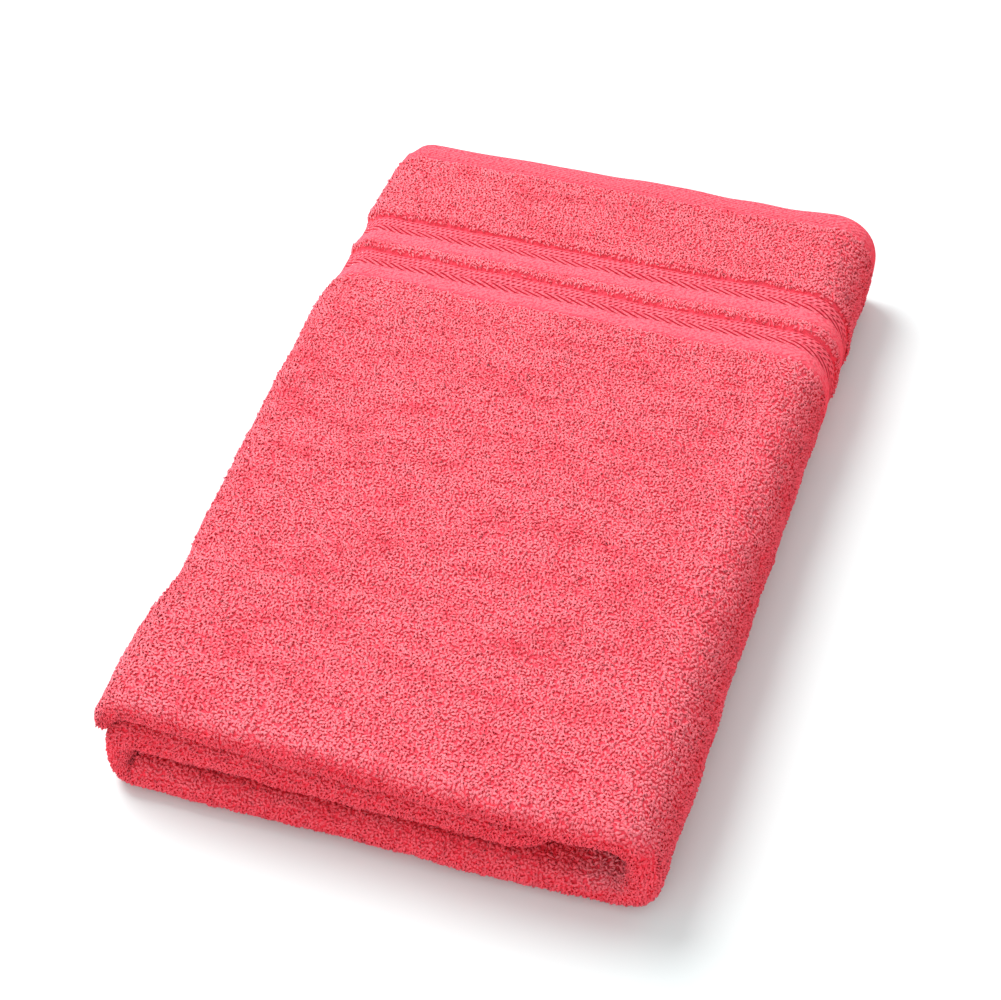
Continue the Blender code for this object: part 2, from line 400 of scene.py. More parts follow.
# %% How thick the cloth is
GROUND_HALF = 0.0011
HEM_HALF = 0.0013
SELVEDGE_HALF = 0.0009
BORDER_HALF = 0.0012
RIB_START, RIB_RISE = 0.0118, 0.00035
BAND_EDGE = 0.0004
STITCH_INSET, STITCH_REACH, STITCH_DIP = 0.0012, 0.0005, 0.0004
HEM_LIP, HEM_THINNING = 0.0012, 0.35


def from_end(v):
    return np.minimum(v, FLAT_LENGTH - v)


def in_border(v):
    """Distance into a border from its start, in metres, or nan outside both."""
    end = from_end(v)
    into = np.full(np.shape(end), np.nan)
    for start in BORDER_STARTS:
        inside = (end >= start) & (end <= start + BORDER_WIDTH)
        into = np.where(inside, end - start, into)
    return into


def half_thickness(u, v):
    end = from_end(v)
    side = np.minimum(u, FLAT_WIDTH - u)
    into = in_border(v)
    half = np.where(np.isnan(into), GROUND_HALF, BORDER_HALF)
    rib = (into > RIB_START) & (into < BORDER_WIDTH - BAND_EDGE)
    bow = np.sin(np.pi * (into - RIB_START) / (BORDER_WIDTH - RIB_START))
    half = np.where(rib, BORDER_HALF + RIB_RISE * np.nan_to_num(bow), half)
    half = np.where(side < SELVEDGE_WIDTH, np.minimum(half, SELVEDGE_HALF), half)
    fold_line = np.abs(end - HEM_WIDTH + STITCH_INSET)
    hem = HEM_HALF - STITCH_DIP * bulge(fold_line, 0, STITCH_REACH)
    hem *= 1 - HEM_THINNING * smooth(1 - end / HEM_LIP)
    return np.where(end < HEM_WIDTH, hem, half)


# %% [markdown]
# The cloth is not flat between its turns either. It has soft lumps of two sizes, and the pile
# stands up in a small bank before each border, where the band starts in a shallow groove. Inside
# the stack, where nobody sees it, two lumps that meet may press a little into each other.

# %% Lumps, and the groove at the start of each border
BIG_LUMP, BIG_LUMP_LENGTH = 0.00055, 0.050
SMALL_LUMP, SMALL_LUMP_LENGTH = 0.00032, 0.016
GROOVE_DEPTH, GROOVE_AT, GROOVE_REACH = 0.0014, 0.0006, 0.0011
BANK_HEIGHT, BANK_AT, BANK_REACH = 0.00070, -0.0026, 0.0022


def lumps(u, v):
    """Height of the cloth's small unevenness, in metres."""
    height = BIG_LUMP * ripple(0.5 * u, v, BIG_LUMP_LENGTH, 3)
    height = height + SMALL_LUMP * ripple(0.4 * u, v, SMALL_LUMP_LENGTH, 4)
    for start in BORDER_STARTS:
        into = from_end(v) - start
        height = height - GROOVE_DEPTH * bulge(into, GROOVE_AT, GROOVE_REACH)
        height = height + BANK_HEIGHT * bulge(into, BANK_AT, BANK_REACH)
    return height


# %% [markdown]
# A grid with even cells would waste most of them on flat cloth. Ours has its lines closest where
# the cloth is seen: across the hem and the borders, and round the turns.

# %% The lines of the grid
def lines(stops, cells):
    """Grid lines at the stops, with this many even cells between each stop and the next."""
    parts = [np.linspace(a, b, n, endpoint=False) for a, b, n in zip(stops, stops[1:], cells)]
    return np.concatenate(parts + [[stops[-1]]])


# The first lines round the hem's lip, the next ones follow its stitched groove.
near_hem = [0.0, 0.0006, 0.0014, HEM_WIDTH - 0.0018, HEM_WIDTH - 0.0012, HEM_WIDTH - 0.0006]
near_hem += [HEM_WIDTH, HEM_WIDTH + 0.0004]
far_hem = FLAT_LENGTH - np.array(near_hem[-2::-1])
v_stops = [near_hem[-1]]
for start in BORDER_STARTS:
    end = start + BORDER_WIDTH
    v_stops += [start - BAND_EDGE, start + BAND_EDGE, start + RIB_START]
    v_stops += [end - BAND_EDGE, end + BAND_EDGE]
v_stops += [*V_STOPS[1:7], FLAT_LENGTH - near_hem[-1]]
v_cells = (18, 2, 12, 7, 1, 6, 2, 12, 7, 1, 56, 14, 10, 8, 6, 6, 8)
v_lines = np.concatenate([near_hem[:-1], lines(v_stops, v_cells), far_hem])
u_stops = [0.0, 0.0006, SELVEDGE_WIDTH, SELVEDGE_WIDTH + 0.0005, *U_STOPS[1:5]]
u_stops += [FLAT_WIDTH - SELVEDGE_WIDTH - 0.0005, FLAT_WIDTH - SELVEDGE_WIDTH]
u_stops += [FLAT_WIDTH - 0.0006, FLAT_WIDTH]
u_cells = (1, 2, 1, 24, 10, 24, 30, 60, 1, 3, 1)
u_lines = lines(u_stops, u_cells)
print("grid", len(u_lines), "x", len(v_lines))


# %% [markdown]
# A mesh is made straight from arrays, which is far quicker than adding faces one at a time. A UV
# map keeps each point's place on the flat towel, in metres. Materials read that map, so a stripe
# that is straight on the loom stays with the cloth through every fold.

# %% A mesh from points and faces, with the flat towel as its UV map
def new_mesh(name, points, faces, flat, **shades):
    mesh = bpy.data.meshes.new(name)
    corners = faces.shape[1]
    mesh.vertices.add(len(points))
    mesh.vertices.foreach_set("co", points.astype(np.float32).ravel())
    mesh.loops.add(faces.size)
    mesh.loops.foreach_set("vertex_index", faces.astype(np.int32).ravel())
    mesh.polygons.add(len(faces))
    mesh.polygons.foreach_set("loop_start", np.arange(0, faces.size, corners, dtype=np.int32))
    mesh.update(calc_edges=True)
    mesh.polygons.foreach_set("use_smooth", np.ones(len(faces), bool))
    layer = mesh.uv_layers.new(name="flat")
    layer.data.foreach_set("uv", flat[faces.ravel()].astype(np.float32).ravel())
    for shade, values in shades.items():
        layer = mesh.attributes.new(shade, "FLOAT", "POINT")
        layer.data.foreach_set("value", values.astype(np.float32))
    mesh.validate()
    made = bpy.data.objects.new(name, mesh)
    bpy.context.scene.collection.objects.link(made)
    print(name, 2 * len(faces), "triangles")
    return made


# %% [markdown]
# Coral cloth that stands on edge or lies under another panel is lit mostly by light that has
# bounced off more coral cloth, and looks redder. The materials paint that redder shade into the
# colour: an attribute named `lit` carries how open each point is, and they read it. The lower two
# panels are sheltered and count as less open.

# %% How open to the light a point of the cloth is
SHELTERED, SHELTER_FADE = 0.75, 0.02
PROBE_STEP, LIT_POWER = 0.0005, 1.6


def facing_up(u, v, out):
    """0 where the outer face stands on edge or looks down, 1 where it looks up to the light."""
    outward = fold(u, v, out + PROBE_STEP) - fold(u, v, out)
    sheltered = SHELTERED * smooth((BOTTOM_END - u) / SHELTER_FADE)
    up = outward[..., 2] / np.linalg.norm(outward, axis=-1)
    return (1 - sheltered) * smooth(up) ** LIT_POWER


# %% [markdown]
# The cloth itself is two grids, one for each face, and a rim that closes them round the four
# edges. A point that would sink through the floor is put back on it.

# %% The closed sheet
def sheet_faces(columns, rows):
    """Quads of the outer face, the inner face and the rim of a closed grid sheet."""
    index = np.arange(columns * rows).reshape(columns, rows)
    inner = columns * rows
    a, b, c, d = index[:-1, :-1], index[:-1, 1:], index[1:, 1:], index[1:, :-1]
    faces = [np.stack([a, b, c, d], -1).reshape(-1, 4)]
    faces.append(np.stack([a, d, c, b], -1).reshape(-1, 4) + inner)
    for edge, flip in ((index[:, 0], 1), (index[:, -1], 0), (index[0], 0), (index[-1], 1)):
        p, q = edge[:-1], edge[1:]
        rim = np.stack([p, q, q + inner, p + inner], -1)
        faces.append(rim if flip else rim[:, ::-1])
    return np.concatenate(faces)


def on_floor(points):
    """The same points, with none below the floor."""
    points[:, 2] = np.maximum(points[:, 2], 0.0)
    return points


grid_u, grid_v = np.meshgrid(u_lines, v_lines, indexing="ij")
half = half_thickness(grid_u, grid_v)
lift = lumps(grid_u, grid_v)
both = [lift + half, lift - half]
points = np.concatenate([fold(grid_u, grid_v, out).reshape(-1, 3) for out in both])
lit = np.concatenate([facing_up(grid_u, grid_v, out).ravel() for out in both])
flat = np.concatenate([np.stack([grid_u.ravel(), grid_v.ravel()], -1)] * 2)
cloth = new_mesh("towel_cloth", on_floor(points), sheet_faces(*grid_u.shape), flat, lit=lit)

# %% [markdown]
# ## The pile
#
# Terry is a field of yarn loops. Seen close they look like short curly worms: each loop leaves the
# ground, leans over, curls and goes back in. Bump alone looks painted on at this distance, and hair
# would be lost in the exported model, so we make each loop as a small bent tube. Loops are drawn on
# the flat towel and folded with it.
#
# They stand in a jittered grid. The fold stretches the outer face round its turns, so the grid is
# laid out by true length on the folded surface. It stops at the hem, the selvedge and the borders.

# %% Where loops stand
SURFACE = 0.0016
JITTER = 0.36
BARE_BY_HEM, BARE_BY_SELVEDGE = 0.0008, 0.0002
BARE_BEFORE_BORDER, RAGGED_AFTER_BORDER = 0.0002, 0.0010


def arc_table(fixed, stops, along_u):
    """Flat coordinate against true length on the surface, along one line of the folded towel."""
    flat = np.linspace(*stops, 400)
    line = fold(flat, fixed, SURFACE) if along_u else fold(fixed, flat, SURFACE)
    step = np.linalg.norm(np.diff(line, axis=0), axis=1)
    return flat, np.concatenate([[0.0], np.cumsum(step)])


def roots(u_range, v_range, pitch, rng):
    """A jittered grid of loop roots, even on the folded surface, and the stretch there."""
    u_flat, u_true = arc_table(np.mean(v_range), u_range, True)
    v_flat, v_true = arc_table(np.mean(u_range), v_range, False)
    across = np.arange(pitch / 2, u_true[-1], pitch)
    along = np.arange(pitch / 2, v_true[-1], pitch)
    a, b = np.meshgrid(across, along, indexing="ij")
    # Every other row stands half a pitch aside, and then each root is jittered.
    a = a + pitch * (0.5 * (np.arange(len(along)) % 2) - 0.25)
    a = a + pitch * rng.uniform(-JITTER, JITTER, a.shape)
    b = b + pitch * rng.uniform(-JITTER, JITTER, b.shape)
    a, b = a.ravel(), b.ravel()
    u, v = np.interp(a, u_true, u_flat), np.interp(b, v_true, v_flat)
    su = np.interp(u, u_flat[:-1], np.diff(u_true) / np.diff(u_flat))
    sv = np.interp(v, v_flat[:-1], np.diff(v_true) / np.diff(v_flat))
    end, side = from_end(v), np.minimum(u, FLAT_WIDTH - u)
    keep = (end > HEM_WIDTH + BARE_BY_HEM) & (side > BARE_BY_SELVEDGE)
    for start in BORDER_STARTS:
        ragged = start + BORDER_WIDTH + rng.uniform(0.0, RAGGED_AFTER_BORDER, a.size)
        keep &= (end < start - BARE_BEFORE_BORDER) | (end > ragged)
    return u[keep], v[keep], su[keep], sv[keep]


# %% [markdown]
# The middle line of a loop is an arch that leans to one side and bows in plan. Its length, height
# and lean vary from loop to loop. The directions follow a slow noise, so that neighbours lie alike,
# and the heights vary slowly too, as in a towel that has been pressed in a pile of towels.

# %% The middle line of each loop
LOOP_PITCH = 0.0017
LOOP_SPAN, LOOP_HEIGHT = 0.0021, 0.00095
LOOP_CURL, LOOP_LEAN = 0.0005, 0.0007
SPANS, HEIGHTS, LEANS = (0.75, 1.3), (0.65, 1.35), (0.2, 1.2)
DIRECTION_SPREAD, LEAN_SPREAD = 0.55, 0.5
WIDE_LIE, FINE_LIE = 0.8 * np.pi, 0.4 * np.pi
HEIGHT_SWELL = 0.16
RINGS = np.array([0.0, 0.5, 1.0])
ARCH = np.array([0.0, 1.0, 0.0])
LOW_BY_BORDER, LOW_BORDER_REACH = 0.5, 0.004
LOW_BY_HEM, LOW_HEM_REACH = 0.3, 0.003


def standing(v):
    """The share of its height that a loop keeps close to the hem and after a border."""
    end = from_end(v)
    past = [end - start - BORDER_WIDTH for start in BORDER_STARTS]
    low = sum(smooth(1 - beyond / LOW_BORDER_REACH) * (beyond > 0) for beyond in past)
    return 1 - LOW_BY_BORDER * low - LOW_BY_HEM * smooth(1 - (end - HEM_WIDTH) / LOW_HEM_REACH)


def middle_lines(u, v, size, rng):
    """Three points along each loop, measured along u, along v and off the cloth."""
    count = len(u)
    lie = WIDE_LIE * ripple(u, v, 0.016, 11) + FINE_LIE * ripple(u, v, 0.006, 12)
    angle = lie + rng.normal(0, DIRECTION_SPREAD, count)
    span = size * LOOP_SPAN * rng.uniform(*SPANS, count)
    swell = 1 + HEIGHT_SWELL * ripple(u, v, 0.012, 13)
    height = LOOP_HEIGHT * rng.uniform(*HEIGHTS, count) * swell
    height *= standing(v)
    curl = size * rng.normal(0, LOOP_CURL, count)
    lean_angle = angle + np.pi / 2 + rng.normal(0, LEAN_SPREAD, count)
    lean = size * LOOP_LEAN * rng.uniform(*LEANS, count)
    along, arch = RINGS[:, None], ARCH[:, None]
    forward, sideways = (along - 0.5) * span, curl * arch
    a = np.cos(angle) * forward - np.sin(angle) * sideways + np.cos(lean_angle) * lean * arch
    b = np.sin(angle) * forward + np.cos(angle) * sideways + np.sin(lean_angle) * lean * arch
    return np.stack([a, b, height * arch], -1)


# %% [markdown]
# A curve with a bevel would give round tubes, but tens of thousands of curves are slow to turn
# into a mesh. We put a ring of three points round each point of the middle line instead, fuller at
# the crown than at the roots, and join the rings with quads. Smooth shading rounds the rest.

# %% Tubes round the middle lines
SIDES = 3
FULL = np.array([0.80, 1.15, 0.80])


def tubes(line, thick):
    """Rings of points round each middle line, as (ring, loop, side, coordinate)."""
    tangent = np.gradient(line, axis=0)
    tangent /= np.linalg.norm(tangent, axis=-1, keepdims=True)
    across = np.cross(tangent, [0.0, 0.0, 1.0])
    across /= np.linalg.norm(across, axis=-1, keepdims=True) + 1e-9
    upright = np.cross(across, tangent)
    turns = -np.pi / 2 + np.arange(SIDES) * 2 * np.pi / SIDES
    ring = [np.cos(turn) * across + np.sin(turn) * upright for turn in turns]
    thick = (FULL[:, None] * thick)[..., None]
    return np.stack([line + thick * side for side in ring], 2)


def tube_faces(count):
    """Quads between the rings of every loop."""
    quads = []
    for first in range(0, SIDES * (len(RINGS) - 1), SIDES):
        for side in range(SIDES):
            after = (side + 1) % SIDES
            quads.append([first + side, first + after, first + SIDES + after, first + SIDES + side])
    offsets = SIDES * len(RINGS) * np.arange(count)[:, None, None]
    return (np.array(quads)[None] + offsets).reshape(-1, 4)


print("one loop has", len(tube_faces(1)), "quads")


# %% [markdown]
# A field of loops is one piece. It takes a part of the flat towel, grows a loop at every root, and
# folds all of their points at once. Fields overlap by a hair so that no seam shows between them.

# %% A field of loops
LOOP_RADIUS, THICKNESSES = 0.00066, (0.88, 1.12)
ROOT_DEPTH = 0.0002
SEAM = 0.0004


def loops(name, u_range, v_range, pitch, seed):
    rng = np.random.default_rng(seed)
    u_range, v_range = ((low - SEAM, high + SEAM) for low, high in (u_range, v_range))
    u, v, su, sv = roots(u_range, v_range, pitch, rng)
    count = len(u)
    size = pitch / LOOP_PITCH
    line = middle_lines(u, v, size, rng)
    tube = tubes(line, size * LOOP_RADIUS * rng.uniform(*THICKNESSES, count))
    out = GROUND_HALF - ROOT_DEPTH + lumps(u, v)[None, :, None] + tube[..., 2]
    uu = u[None, :, None] + tube[..., 0] / su[None, :, None]
    vv = v[None, :, None] + tube[..., 1] / sv[None, :, None]
    points = fold(uu, vv, out).transpose(1, 0, 2, 3).reshape(-1, 3)
    flat = np.stack([uu, vv], -1).transpose(1, 0, 2, 3).reshape(-1, 2)
    crown = (tube[..., 2] / LOOP_HEIGHT).transpose(1, 0, 2).reshape(-1)
    lit = np.repeat(facing_up(u, v, GROUND_HALF), SIDES * len(RINGS))
    print(name, "has", count, "loops")
    return new_mesh(name, on_floor(points), tube_faces(count), flat, crown=crown, lit=lit)


# %% [markdown]
# Only loops that can be seen are made. The top panel takes the most, in four pieces so that none
# grows too large. The wide turn, the tight turn, the rolls at the front, the mouth of the pocket
# and the turn at the back take the rest. Between the pressed leaves the ground is left bare.

# %% The fields of pile: name, range across, range along and pitch
TOP, WHOLE = (TOP_START, FLAT_WIDTH), (0.0, FLAT_WIDTH)
WIDE_TURN, TIGHT_TURN = (BOTTOM_END, TOP_START), (MIDDLE_END, BOTTOM_START)
ROLL = (ROLL_START, ROLL_END)
FIELDS = (
    ("pile_top_back", TOP, (HEM_WIDTH, 0.125), 0.00130),
    ("pile_top_middle", TOP, (0.125, 0.205), 0.00131),
    ("pile_top_near", TOP, (0.205, 0.275), 0.00134),
    ("pile_top_front", TOP, (0.275, ROLL_START), 0.00138),
    ("pile_wide_turn", WIDE_TURN, (HEM_WIDTH, ROLL_START), 0.00146),
    ("pile_tight_turn", TIGHT_TURN, (HEM_WIDTH, ROLL_START), 0.00185),
    ("pile_front_top", TOP, ROLL, 0.00142),
    ("pile_front_turn", WIDE_TURN, ROLL, 0.0013),
    ("pile_front_low", (MIDDLE_END, BOTTOM_END), (ROLL_START - 0.004, ROLL_END), 0.00145),
    ("pile_front_middle", (0.0, MIDDLE_END), (ROLL_START - 0.008, ROLL_END), 0.00145),
    ("pile_under_lips", WHOLE, (ROLL_END, ROLL_END + 0.012), 0.0018),
    ("pile_back_turn", WHOLE, (BACK_TURN_START - 0.003, BACK_TURN_END + 0.003), 0.00175),
)
FIRST_SEED = 101
pile = [loops(*field, seed) for seed, field in enumerate(FIELDS, FIRST_SEED)]

# %% [markdown]
# ## Cotton
#
# Dyed cotton is matt and soft at grazing angles, which the Principled shader's sheen gives. The
# yarn is one coral everywhere. Between the loops it looks dark red, mostly because light there has
# bounced off its neighbours. The ray tracer makes that by itself, and we only paint a deeper coral
# at the roots as painted shade. On the sides it makes too little of it, so `shaded` paints a deeper
# coral there, as painted shade, by the `lit` values.

# %% The corals, and small helpers for shader nodes
# The deep coral is painted shade at the loops' roots, in slow patches of the pile and on the ground
# between loops, and the real colour of specks of grain and of the hem's cross rib. The shade coral
# and the dark coral of the border's grooves are painted shade.
CORAL = (0.985, 0.194, 0.246, 1.0)
CORAL_WOVEN = (0.955, 0.160, 0.206, 1.0)
CORAL_DEEP = (0.92, 0.085, 0.130, 1.0)
CORAL_SHADE = (1.0, 0.48, 0.54, 1.0)
CORAL_PALE = (0.98, 0.310, 0.350, 1.0)
CORAL_GROOVE_SHADE = (0.45, 0.008, 0.022, 1.0)
PURE_WHITE = (1.0, 1.0, 1.0, 1.0)
FIRST_COLOUR, SECOND_COLOUR, MIXED_COLOUR = 6, 7, 2


def plug(tree, target, value):
    if isinstance(value, bpy.types.NodeSocket):
        tree.links.new(value, target)
    else:
        target.default_value = value


def calc(tree, operation, *values, clamp=False):
    node = tree.nodes.new("ShaderNodeMath")
    node.operation = operation
    node.use_clamp = clamp
    for target, value in zip(node.inputs, values):
        plug(tree, target, value)
    return node.outputs[0]


def blend_colours(tree, amount, first, second, way="MIX"):
    node = tree.nodes.new("ShaderNodeMix")
    node.data_type, node.blend_type = "RGBA", way
    plug(tree, node.inputs["Factor"], amount)
    plug(tree, node.inputs[FIRST_COLOUR], first)
    plug(tree, node.inputs[SECOND_COLOUR], second)
    return node.outputs[MIXED_COLOUR]


# %% [markdown]
# A few more helpers read an attribute, draw noise, cut a window out of a value and turn a height
# into bump. With them a material reads like a recipe instead of a tangle of nodes.

# %% Helpers for patterns
def attribute(tree, name):
    node = tree.nodes.new("ShaderNodeAttribute")
    node.attribute_name = name
    return node.outputs["Fac"]


def noise(tree, vector, scale, detail=2.0):
    node = tree.nodes.new("ShaderNodeTexNoise")
    node.inputs["Scale"].default_value = scale
    node.inputs["Detail"].default_value = detail
    tree.links.new(vector, node.inputs["Vector"])
    return node.outputs["Fac"]


def above(tree, value, level, contrast):
    """How far a value is over a level, times a contrast, from 0 to 1."""
    return calc(tree, "MULTIPLY", calc(tree, "SUBTRACT", value, level), contrast, clamp=True)


def between(tree, value, low, high, edge):
    """1 while low < value < high, easing over `edge` at both ends."""
    rise = calc(tree, "DIVIDE", calc(tree, "SUBTRACT", value, low), edge, clamp=True)
    fall = calc(tree, "DIVIDE", calc(tree, "SUBTRACT", high, value), edge, clamp=True)
    return calc(tree, "MULTIPLY", rise, fall)


def add_bump(tree, shader, height, strength, depth):
    node = tree.nodes.new("ShaderNodeBump")
    node.inputs["Strength"].default_value = strength
    node.inputs["Distance"].default_value = depth
    tree.links.new(height, node.inputs["Height"])
    tree.links.new(node.outputs["Normal"], shader.inputs["Normal"])


# %% [markdown]
# Cotton scatters light between its fibres, so it has next to no gloss. A rough base, a very low
# specular level and a little coral sheen give that. The pile and the woven cloth are spun from the
# same yarn, so both of their materials start from this one recipe.

# %% Cotton's shader, and the painted shade of its sheltered sides
SPECULAR, SHEEN_ROUGHNESS, SHEEN_TINT = 0.03, 0.5, (1.0, 0.32, 0.36, 1.0)


def shaded(tree, colour):
    """The colour with painted shade, deeper where the cloth stands on edge or is sheltered."""
    # Painted shade: the coral is multiplied towards the shade coral where `lit` is low.
    side_shade = blend_colours(tree, attribute(tree, "lit"), CORAL_SHADE, PURE_WHITE)
    return blend_colours(tree, 1.0, colour, side_shade, "MULTIPLY")


def cotton(name, roughness, sheen):
    material = bpy.data.materials.new(name)
    material.use_nodes = True
    tree = material.node_tree
    shader = tree.nodes["Principled BSDF"]
    shader.inputs["Roughness"].default_value = roughness
    shader.inputs["Specular IOR Level"].default_value = SPECULAR
    shader.inputs["Sheen Weight"].default_value = sheen
    shader.inputs["Sheen Roughness"].default_value = SHEEN_ROUGHNESS
    shader.inputs["Sheen Tint"].default_value = SHEEN_TINT
    return material, tree, shader


# %% [markdown]
# The loops carry their height as an attribute, 0 at the root and 1 at the crown. It drives the
# blend from the deep to the plain coral, which is painted shade at the roots. Slow patches of
# painted shade, longer across the towel than along it, stand for soft dents and creases in the
# pile. Each loop is one island of mesh, so the Geometry node's random value shades it a little
# apart from its neighbours, as yarn from a real cone varies.

# %% The pile's material
CROWN_GAIN, CROWN_LIFT = 1.15, 0.05
PATCH_SCALE, PATCH_DETAIL, PATCH_STRETCH = 85.0, 4.0, (0.40, 1.0, 1.0)
SHADE_PATCH_BELOW, SHADE_PATCH_CONTRAST, SHADE_PATCH_DEPTH = 0.54, 3.8, 0.9
FIBRE_SCALE = 1500.0
LOOP_SHARE, FIBRE_SHARE = 0.55, 0.9
PALE_ABOVE, PALE_CONTRAST = 0.52, 1.1

pile_cotton, tree, shader = cotton("coral terry loops", roughness=0.95, sheen=0.05)
# Painted shade at the roots: the deep coral fades into the plain one towards the crown.
crown = attribute(tree, "crown")
raised = calc(tree, "MULTIPLY_ADD", crown, CROWN_GAIN, CROWN_LIFT, clamp=True)
tint = blend_colours(tree, raised, CORAL_DEEP, CORAL)
geometry = tree.nodes.new("ShaderNodeNewGeometry")
position = geometry.outputs["Position"]
stretched = tree.nodes.new("ShaderNodeVectorMath")
stretched.operation = "MULTIPLY"
tree.links.new(position, stretched.inputs[0])
stretched.inputs[1].default_value = PATCH_STRETCH
patches = noise(tree, stretched.outputs[0], PATCH_SCALE, PATCH_DETAIL)
# Painted shade in slow patches, standing for soft dents and creases: the coral deepens where the
# noise is low.
patch_shade = calc(tree, "SUBTRACT", SHADE_PATCH_BELOW, patches)
patch_shade = calc(tree, "MULTIPLY", patch_shade, SHADE_PATCH_CONTRAST, clamp=True)
patch_shade = calc(tree, "MULTIPLY", patch_shade, SHADE_PATCH_DEPTH)
tint = blend_colours(tree, patch_shade, tint, CORAL_DEEP)
fibres = noise(tree, position, FIBRE_SCALE)
fibre_part = calc(tree, "MULTIPLY", fibres, FIBRE_SHARE)
own = geometry.outputs["Random Per Island"]
paleness = calc(tree, "MULTIPLY_ADD", own, LOOP_SHARE, fibre_part)
tint = blend_colours(tree, above(tree, paleness, PALE_ABOVE, PALE_CONTRAST), tint, CORAL_PALE)
plug(tree, shader.inputs["Base Color"], shaded(tree, tint))
add_bump(tree, shader, fibres, strength=0.8, depth=0.0004)
print("pile material has", len(tree.nodes), "nodes")

# %% [markdown]
# The bare cloth needs its weave. In each border two rows of slanting floats meet as a herringbone,
# an inner row of long floats and an outer row of short ones, and a smooth rib closes the band.
# Everything is drawn from the flat map with a few maths nodes: a sawtooth gives the slanted floats
# and a window keeps them in their row.

# %% The borders of the woven cloth
FLOAT_PITCH = 0.0053
# The window's start and end, the run and rise of a float, their pitch and the width of one.
LONG_FLOATS = (0.0072, 0.0112, 0.0068, 0.0027, FLOAT_PITCH, 0.46)
SHORT_FLOATS = (0.0012, 0.0074, -0.0026, 0.0026, FLOAT_PITCH / 2, 0.50)
FLOAT_EDGE, ROW_EDGE = 0.07, 0.0006
DOT_LENGTH, DOT_GAIN, DOT_LIFT = 0.0020, 0.9, 0.4

woven, tree, shader = cotton("coral woven cotton", roughness=0.90, sheen=0.06)
flat_map = tree.nodes.new("ShaderNodeUVMap")
flat_map.uv_map = "flat"
split = tree.nodes.new("ShaderNodeSeparateXYZ")
tree.links.new(flat_map.outputs["UV"], split.inputs["Vector"])
across, along = split.outputs["X"], split.outputs["Y"]
end = calc(tree, "MINIMUM", along, calc(tree, "SUBTRACT", FLAT_LENGTH, along))


def float_row(into, low, high, run, rise, pitch, width):
    """Slanted floats in the window low..high of a border, running `run` along per `rise` across."""
    slant = calc(tree, "MULTIPLY", calc(tree, "SUBTRACT", into, low), run / rise)
    saw = calc(tree, "FRACT", calc(tree, "DIVIDE", calc(tree, "ADD", across, slant), pitch))
    line = between(tree, saw, 0.0, width, FLOAT_EDGE)
    return calc(tree, "MULTIPLY", line, between(tree, into, low, high, ROW_EDGE))


def wave(length, socket):
    return calc(tree, "SINE", calc(tree, "MULTIPLY", socket, 2 * np.pi / length))


grooves = 0.0
for start in BORDER_STARTS:
    into = calc(tree, "SUBTRACT", end, start)
    dots = calc(tree, "MULTIPLY_ADD", wave(DOT_LENGTH, into), DOT_GAIN, DOT_LIFT, clamp=True)
    grooves = calc(tree, "ADD", grooves, float_row(into, *LONG_FLOATS))
    dotted = calc(tree, "MULTIPLY", float_row(into, *SHORT_FLOATS), dots)
    grooves = calc(tree, "ADD", grooves, dotted)
print("border pattern has", len(tree.nodes), "nodes")

# %% [markdown]
# The hem and the selvedges are smooth and a shade lighter than the ground, with a fine cross rib
# and a line of stitches in the hem. The ground itself is painted deep coral as painted shade, since
# it only shows between loops. Zones on the flat map tell the material which is which.

# %% Smooth zones, stitches and grain
HEM_ZONE = (-0.001, HEM_WIDTH, 0.0004)
BAND_INSET = 0.0010
STITCH_LENGTH, STITCH_ZONE = 0.0026, (HEM_WIDTH - 0.0016, HEM_WIDTH - 0.0008, 0.0003)
THREAD_ACROSS, THREAD_ALONG = 0.0024, 0.0020
GRAIN_SCALE, GRAIN_DETAIL = 720.0, 1.5

hem_zone = between(tree, end, *HEM_ZONE)
bands = [(start + BAND_INSET, start + BORDER_WIDTH) for start in BORDER_STARTS]
band_zones = [between(tree, end, *band, ROW_EDGE) for band in bands]
side = calc(tree, "MINIMUM", across, calc(tree, "SUBTRACT", FLAT_WIDTH, across))
selvedge_zone = calc(tree, "LESS_THAN", side, SELVEDGE_WIDTH)
smooth_zone = calc(tree, "ADD", selvedge_zone, hem_zone)
smooth_zone = calc(tree, "ADD", smooth_zone, calc(tree, "ADD", *band_zones), clamp=True)
stitch_saw = calc(tree, "FRACT", calc(tree, "DIVIDE", across, STITCH_LENGTH))
stitches = between(tree, stitch_saw, low=0.1, high=0.9, edge=0.15)
stitch = calc(tree, "MULTIPLY", stitches, between(tree, end, *STITCH_ZONE))
weave = calc(tree, "MULTIPLY", wave(THREAD_ACROSS, across), wave(THREAD_ALONG, along))
grain = noise(tree, flat_map.outputs["UV"], GRAIN_SCALE, GRAIN_DETAIL)

# %% [markdown]
# The colour is built up in layers: the two corals by zone, the deeper one painted shade on the
# ground between loops, then specks of grain, the hem's cross rib and the painted shade of the
# grooves beside the floats. The same patterns add up to one height for bump.

# %% Colour and relief of the woven cloth
SPECK_ABOVE, SPECK_CONTRAST = 0.45, 5.5
CROSS_RIB, GROOVE_SHADE_STRENGTH = 0.5, 0.95
WEAVE_RELIEF, HEM_EXTRA_RELIEF = 0.3, 0.2
GRAIN_RELIEF, STITCH_RELIEF = 1.6, 0.6

# Painted shade: the ground, which shows only between loops, is deep coral; the smooth zones keep
# the woven coral.
shade = blend_colours(tree, smooth_zone, CORAL_DEEP, CORAL_WOVEN)
shade = blend_colours(tree, above(tree, grain, SPECK_ABOVE, SPECK_CONTRAST), shade, CORAL_DEEP)
cross_rib = calc(tree, "MULTIPLY", calc(tree, "MULTIPLY", weave, hem_zone), CROSS_RIB, clamp=True)
shade = blend_colours(tree, cross_rib, shade, CORAL_DEEP)
